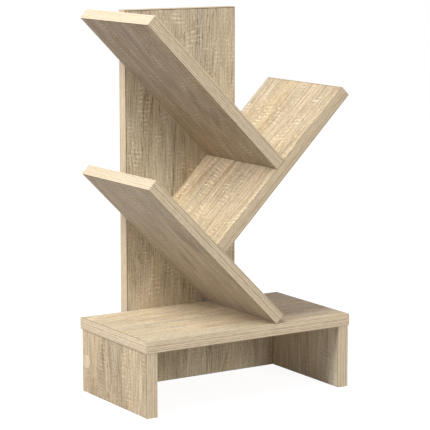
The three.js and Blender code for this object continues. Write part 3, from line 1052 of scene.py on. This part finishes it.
def studio_floor_paint():
    """Matt white studio floor. It is seen white, and keeps a soft share of the shadow."""
    material = bpy.data.materials.new("studio_floor_paint")
    add = emptied(material)
    coat, dim = [
        add("BsdfDiffuse", {"Color": (*linear(colour), 1)}) for colour in ("#F4F4F4", "#C2C0BC")]
    glow_level, coat_share = 1.30, 0.3
    glow = add("Emission", {"Color": (1, 1, 1, 1), "Strength": glow_level})
    seen = add("MixShader", coat_share, glow, coat)
    both = add("MixShader", seen_share(add), dim, seen)
    add("OutputMaterial", {"Surface": both}, out=None)
    return material


def studio_world(level, sky):
    """Light from all round at the given level, on a background that is seen white."""
    world = bpy.data.worlds.new("studio_world")
    add = emptied(world)
    soft = add("Background", {"Color": (*sky, 1), "Strength": level})
    white = add("Background", {"Color": (1, 1, 1, 1), "Strength": 1.0})
    both = add("MixShader", seen_share(add), soft, white)
    add("OutputWorld", {"Surface": both}, out=None)
    return world


def soft_lamp(name, studio, power, colour, around, above):
    """A square soft light, so many degrees round from the front to the left, and so many up."""
    round_angle, up_angle = math.radians(around), math.radians(above)
    toward = Vector((
        -math.sin(round_angle) * math.cos(up_angle),
        -math.cos(round_angle) * math.cos(up_angle),
        math.sin(up_angle)))
    light = bpy.data.lights.new(name, "AREA")
    light.shape = "SQUARE"
    light.size = studio.lamp_size
    light.energy = power
    light.color = colour
    lamp = placed(name, light)
    middle = Vector((0, 0, (CAD_LOW[2] + CAD_HIGH[2]) / 2))
    lamp.location = middle + toward * studio.lamp_distance
    lamp.rotation_euler = (-toward).to_track_quat("-Z", "Y").to_euler()


class BOOKSHELF_OT_studio(bpy.types.Operator):
    """Lays the floor, hangs the light and sets up the camera"""

    bl_idname = "bookshelf.studio"
    bl_label = "Studio"

    def execute(self, context):
        studio = context.scene.shelf_studio
        scene = context.scene
        scene.view_settings.view_transform = "Standard"
        scene.world = studio_world(studio.ambient, studio.sky)

        plane = bmesh.new()
        bmesh.ops.create_grid(plane, x_segments=1, y_segments=1, size=studio.floor_size / 2)
        floor = held("studio_floor", plane)
        floor.data.materials.append(studio_floor_paint())
        floor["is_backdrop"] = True

        # The key hangs high on the left. The other two stand low, in front and on the left,
        # where the light reaches in under the branches.
        soft_lamp("soft_key", studio, studio.key_power, studio.lamp_colour, 76, 50)
        soft_lamp("soft_front", studio, studio.front_power, studio.lamp_colour, -13, 12)
        soft_lamp("soft_side", studio, studio.side_power, studio.sky, 90, 6)

        view = bpy.data.cameras.new("photo_camera")
        view.lens = studio.lens
        view.sensor_width = 36
        camera = placed("photo_camera", view)
        camera.location = studio.camera_place
        camera.rotation_euler = (math.pi / 2 - studio.camera_pitch, 0, -studio.camera_yaw)
        scene.camera = camera
        return {"FINISHED"}


OPERATORS = (
    BOOKSHELF_OT_finishes, BOOKSHELF_OT_boards, BOOKSHELF_OT_branches, BOOKSHELF_OT_edge_bands,
    BOOKSHELF_OT_cover_caps, BOOKSHELF_OT_screws, BOOKSHELF_OT_dowels, BOOKSHELF_OT_studio)
SETTINGS = {
    "shelf_boards": BoardSettings,
    "shelf_fasteners": FastenerSettings,
    "shelf_finishes": FinishSettings,
    "shelf_studio": StudioSettings,
}


class BOOKSHELF_PT_sidebar(bpy.types.Panel):
    """Lists the steps that build the bookshelf"""

    bl_idname = "BOOKSHELF_PT_sidebar"
    bl_label = "Tree Shaped Bookshelf"
    bl_space_type = "VIEW_3D"
    bl_region_type = "UI"
    bl_category = "Bookshelf"

    def draw(self, context):
        for operator in OPERATORS:
            self.layout.operator(operator.bl_idname)
        for group in SETTINGS:
            settings = getattr(context.scene, group)
            box = self.layout.box()
            for name in settings.__annotations__:
                box.prop(settings, name)


CLASSES = (*SETTINGS.values(), *OPERATORS, BOOKSHELF_PT_sidebar)


def register():
    for cls in CLASSES:
        bpy.utils.register_class(cls)
    for name, group in SETTINGS.items():
        setattr(bpy.types.Scene, name, bpy.props.PointerProperty(type=group))


def unregister():
    for name in SETTINGS:
        delattr(bpy.types.Scene, name)
    for cls in reversed(CLASSES):
        bpy.utils.unregister_class(cls)


def main():
    register()
    bpy.ops.bookshelf.finishes()
    bpy.ops.bookshelf.boards()
    bpy.ops.bookshelf.branches()
    bpy.ops.bookshelf.edge_bands()
    bpy.ops.bookshelf.cover_caps()
    bpy.ops.bookshelf.screws()
    bpy.ops.bookshelf.dowels()
    bpy.ops.bookshelf.studio()
    low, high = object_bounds()
    sizes = {
        "cad": [list(map(float, CAD_LOW)), list(map(float, CAD_HIGH))],
        "visual": [list(map(float, low)), list(map(float, high))]}


if __name__ == "__main__":
    main()
